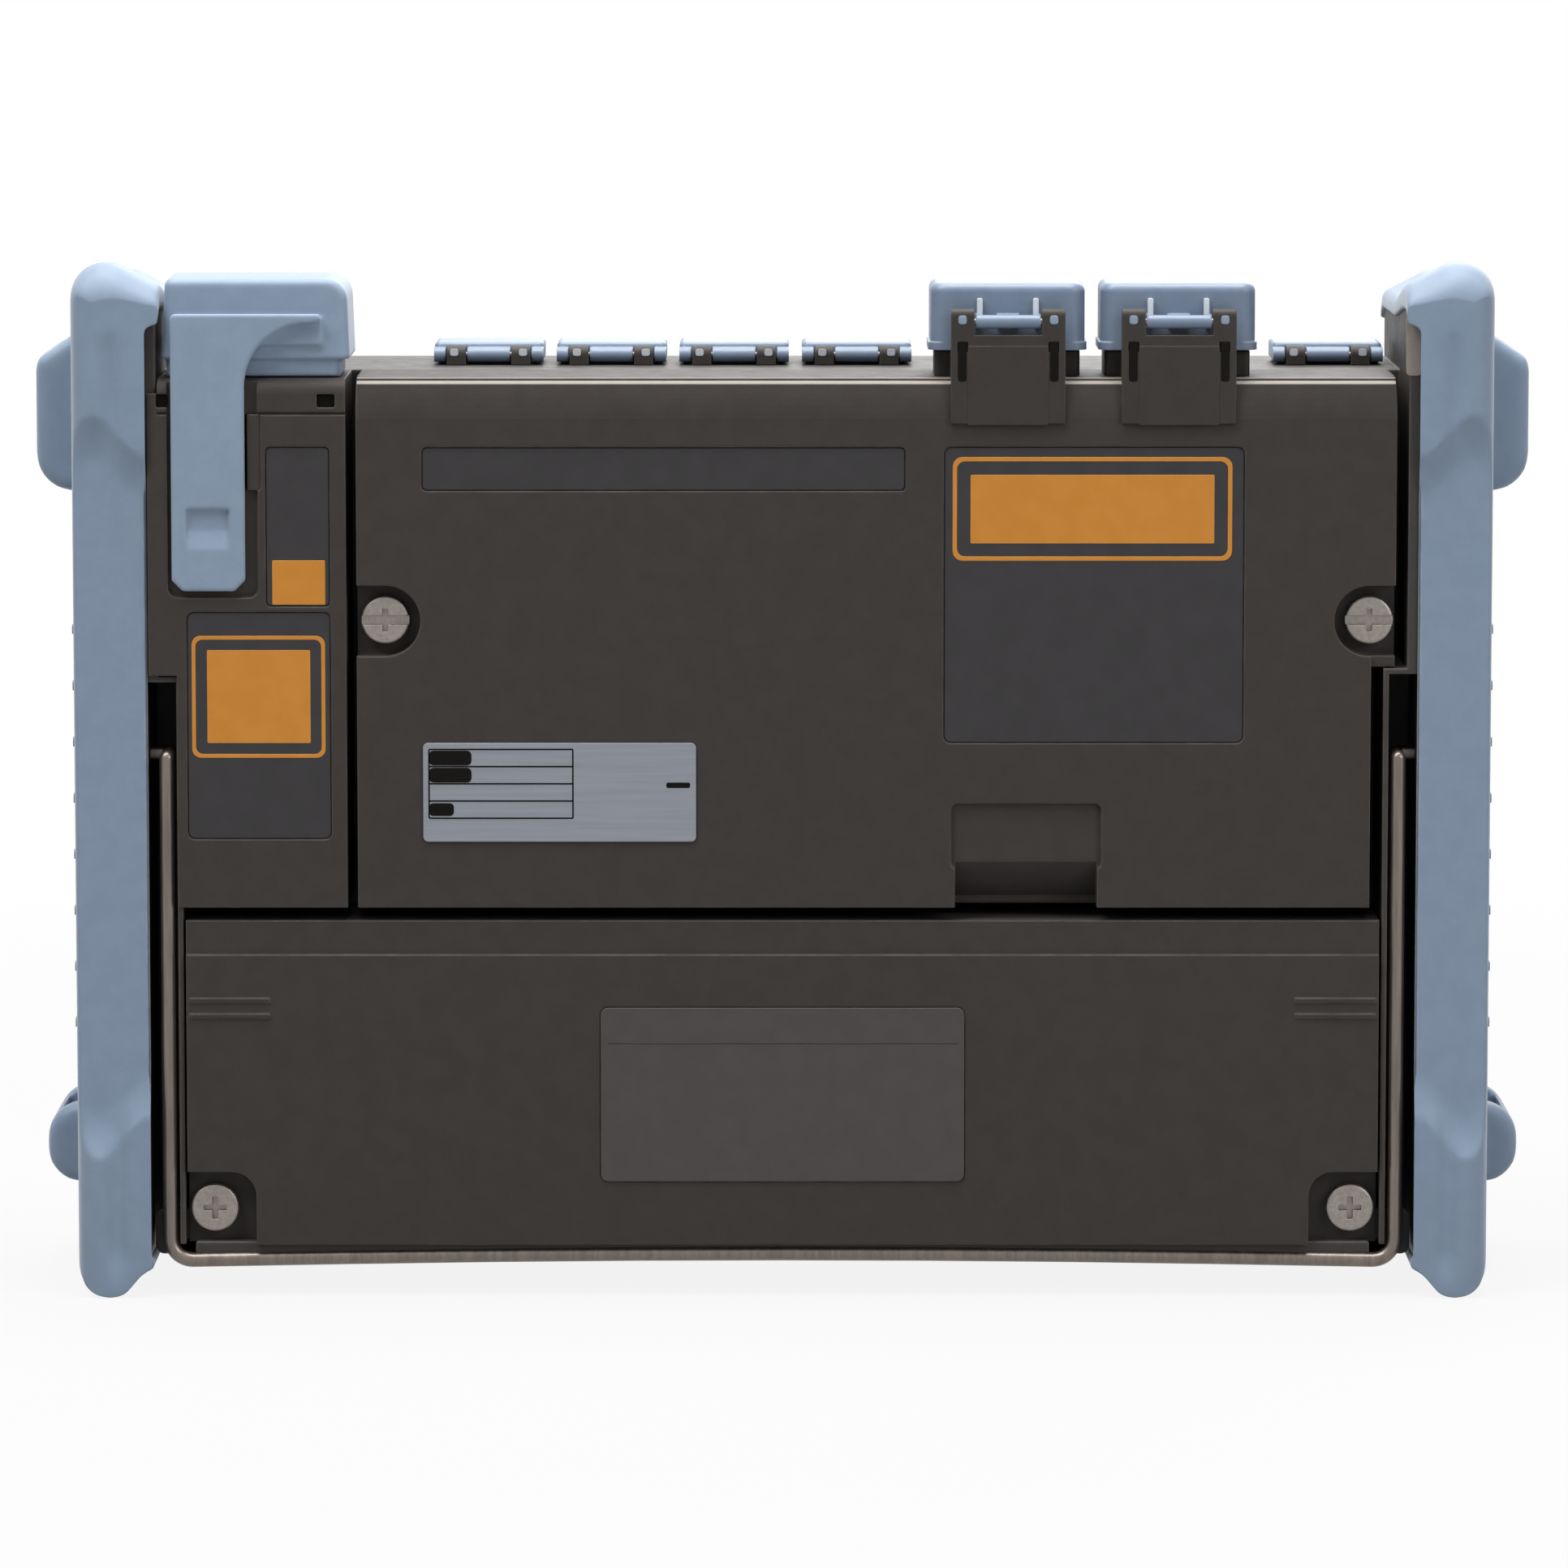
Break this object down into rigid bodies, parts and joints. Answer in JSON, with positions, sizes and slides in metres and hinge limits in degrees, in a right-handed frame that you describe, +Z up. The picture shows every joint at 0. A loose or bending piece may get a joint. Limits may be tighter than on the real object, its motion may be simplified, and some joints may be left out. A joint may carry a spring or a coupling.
{
  "type": "optical time domain reflectometer",
  "caption": "Hand-held fibre tester with a touch screen, plug-in test and power-meter units behind, rubber bumpers, hinged port covers and a wire stand.",
  "frame": {"origin": "middle of the case in plan, on the surface that the bumper feet stand on", "axes": "+X along the case's width, +Y out of the screen, +Z up"},
  "size_m": [0.306, 0.08, 0.21],
  "materials": {
    "case": "fine-grained, satin",
    "bumper": "soft matt elastomer",
    "cap": "soft matt elastomer",
    "lid": "satin",
    "key": "matt silicone",
    "component": "matt black",
    "board": "solder-masked board",
    "glass": "gloss, dark",
    "display": "matt",
    "plate": "mill finish",
    "wire": "drawn wire, nickel-plated",
    "label": "satin film",
    "rating": "satin foil",
    "screw": "nickel-plated",
    "fitting": "matt black",
    "adapter": "matt",
    "battery": "matt wrap"
  },
  "bodies": {
    "mainframe": {"rear_case": "case", "front_case": "case", "otdr_unit_case": "case", "module_case": "case", "battery_cover": "case", "bumper_left": "bumper", "bumper_right": "bumper", "meter_strap": "cap", "encoder": "component", "key_board": "board", "main_board": "board", "unit_board": "board", "module_board": "board", "touch_glass": "glass", "lcd_module": "display", "chassis_plate": "plate", "board_spacers": "plate", "board_posts": "plate", "cover_plate": "label", "rating_plate": "rating", "unit_screws": "screw", "cover_screws": "screw", "port_lid_pins": "screw", "flap_pins": "screw", "meter_adapter": "screw", "port_mounts": "fitting", "port_adapters": "adapter", "flap_posts": "fitting", "deck_sockets": "component", "battery_pack": "battery", "optical_block": "plate", "fibre_reel": "component"},
    "stand": {"stand": "wire"},
    "port_lid_1": {"port_lid_1": "lid"},
    "port_lid_2": {"port_lid_2": "lid"},
    "flap_1": {"flap_1": "lid"},
    "flap_2": {"flap_2": "lid"},
    "flap_3": {"flap_3": "lid"},
    "flap_4": {"flap_4": "lid"},
    "flap_5": {"flap_5": "lid"},
    "meter_cap": {"meter_cap": "cap"},
    "knob": {"knob": "key"},
    "key_soft_1": {"key_soft_1": "key"},
    "key_soft_2": {"key_soft_2": "key"},
    "key_soft_3": {"key_soft_3": "key"},
    "key_soft_4": {"key_soft_4": "key"},
    "key_soft_5": {"key_soft_5": "key"},
    "key_power": {"key_power": "key"},
    "key_menu": {"key_menu": "key"},
    "key_escape": {"key_escape": "key"},
    "key_up": {"key_up": "key"},
    "key_down": {"key_down": "key"},
    "key_left": {"key_left": "key"},
    "key_right": {"key_right": "key"},
    "key_enter": {"key_enter": "key"},
    "key_setup": {"key_setup": "key"},
    "key_file": {"key_file": "key"},
    "key_start": {"key_start": "key"},
    "key_test": {"key_test": "key"}
  },
  "joints": [
    {"name": "stand_hinge", "type": "hinge", "parent": "mainframe", "child": "stand", "pos_m": [0, -0.0255, 0.11], "axis": [-1, 0, 0], "range_deg": [0, 55]},
    {"name": "port_lid_1_hinge", "type": "hinge", "parent": "mainframe", "child": "port_lid_1", "pos_m": [0.0454, -0.0367, 0.1984], "axis": [1, 0, 0], "range_deg": [0, 170]},
    {"name": "port_lid_2_hinge", "type": "hinge", "parent": "mainframe", "child": "port_lid_2", "pos_m": [0.0798, -0.0367, 0.1984], "axis": [1, 0, 0], "range_deg": [0, 170]},
    {"name": "flap_1_hinge", "type": "hinge", "parent": "mainframe", "child": "flap_1", "pos_m": [-0.0606, 0.0065, 0.1891], "axis": [1, 0, 0], "range_deg": [0, 100]},
    {"name": "flap_2_hinge", "type": "hinge", "parent": "mainframe", "child": "flap_2", "pos_m": [-0.0353, 0.0065, 0.1891], "axis": [1, 0, 0], "range_deg": [0, 100]},
    {"name": "flap_3_hinge", "type": "hinge", "parent": "mainframe", "child": "flap_3", "pos_m": [-0.01, 0.0065, 0.1891], "axis": [1, 0, 0], "range_deg": [0, 100]},
    {"name": "flap_4_hinge", "type": "hinge", "parent": "mainframe", "child": "flap_4", "pos_m": [0.0153, 0.0065, 0.1891], "axis": [1, 0, 0], "range_deg": [0, 100]},
    {"name": "flap_5_hinge", "type": "hinge", "parent": "mainframe", "child": "flap_5", "pos_m": [0.1125, 0.0065, 0.1891], "axis": [1, 0, 0], "range_deg": [0, 100]},
    {"name": "meter_cap_bend", "type": "hinge", "parent": "mainframe", "child": "meter_cap", "pos_m": [-0.1158, -0.0376, 0.183], "axis": [1, 0, 0], "range_deg": [0, 110], "stiffness_Nm_per_rad": 0.002},
    {"name": "knob_turn", "type": "hinge", "parent": "mainframe", "child": "knob", "pos_m": [-0.105, 0.03, 0.128], "axis": [0, 1, 0], "continuous": true},
    {"name": "key_soft_1_press", "type": "slide", "parent": "mainframe", "child": "key_soft_1", "axis": [0, -1, 0], "range_m": [0, 0.0012], "stiffness_N_per_m": 400, "springref_m": -0.0005},
    {"name": "key_soft_2_press", "type": "slide", "parent": "mainframe", "child": "key_soft_2", "axis": [0, -1, 0], "range_m": [0, 0.0012], "stiffness_N_per_m": 400, "springref_m": -0.0005},
    {"name": "key_soft_3_press", "type": "slide", "parent": "mainframe", "child": "key_soft_3", "axis": [0, -1, 0], "range_m": [0, 0.0012], "stiffness_N_per_m": 400, "springref_m": -0.0005},
    {"name": "key_soft_4_press", "type": "slide", "parent": "mainframe", "child": "key_soft_4", "axis": [0, -1, 0], "range_m": [0, 0.0012], "stiffness_N_per_m": 400, "springref_m": -0.0005},
    {"name": "key_soft_5_press", "type": "slide", "parent": "mainframe", "child": "key_soft_5", "axis": [0, -1, 0], "range_m": [0, 0.0012], "stiffness_N_per_m": 400, "springref_m": -0.0005},
    {"name": "key_power_press", "type": "slide", "parent": "mainframe", "child": "key_power", "axis": [0, -1, 0], "range_m": [0, 0.0012], "stiffness_N_per_m": 400, "springref_m": -0.0005},
    {"name": "key_menu_press", "type": "slide", "parent": "mainframe", "child": "key_menu", "axis": [0, -1, 0], "range_m": [0, 0.0012], "stiffness_N_per_m": 400, "springref_m": -0.0005},
    {"name": "key_escape_press", "type": "slide", "parent": "mainframe", "child": "key_escape", "axis": [0, -1, 0], "range_m": [0, 0.0012], "stiffness_N_per_m": 400, "springref_m": -0.0005},
    {"name": "key_up_press", "type": "slide", "parent": "mainframe", "child": "key_up", "axis": [0, -1, 0], "range_m": [0, 0.0012], "stiffness_N_per_m": 400, "springref_m": -0.0005},
    {"name": "key_down_press", "type": "slide", "parent": "mainframe", "child": "key_down", "axis": [0, -1, 0], "range_m": [0, 0.0012], "stiffness_N_per_m": 400, "springref_m": -0.0005},
    {"name": "key_left_press", "type": "slide", "parent": "mainframe", "child": "key_left", "axis": [0, -1, 0], "range_m": [0, 0.0012], "stiffness_N_per_m": 400, "springref_m": -0.0005},
    {"name": "key_right_press", "type": "slide", "parent": "mainframe", "child": "key_right", "axis": [0, -1, 0], "range_m": [0, 0.0012], "stiffness_N_per_m": 400, "springref_m": -0.0005},
    {"name": "key_enter_press", "type": "slide", "parent": "mainframe", "child": "key_enter", "axis": [0, -1, 0], "range_m": [0, 0.0012], "stiffness_N_per_m": 400, "springref_m": -0.0005},
    {"name": "key_setup_press", "type": "slide", "parent": "mainframe", "child": "key_setup", "axis": [0, -1, 0], "range_m": [0, 0.0012], "stiffness_N_per_m": 400, "springref_m": -0.0005},
    {"name": "key_file_press", "type": "slide", "parent": "mainframe", "child": "key_file", "axis": [0, -1, 0], "range_m": [0, 0.0012], "stiffness_N_per_m": 400, "springref_m": -0.0005},
    {"name": "key_start_press", "type": "slide", "parent": "mainframe", "child": "key_start", "axis": [0, -1, 0], "range_m": [0, 0.0012], "stiffness_N_per_m": 400, "springref_m": -0.0005},
    {"name": "key_test_press", "type": "slide", "parent": "mainframe", "child": "key_test", "axis": [0, -1, 0], "range_m": [0, 0.0012], "stiffness_N_per_m": 400, "springref_m": -0.0005}
  ]
}
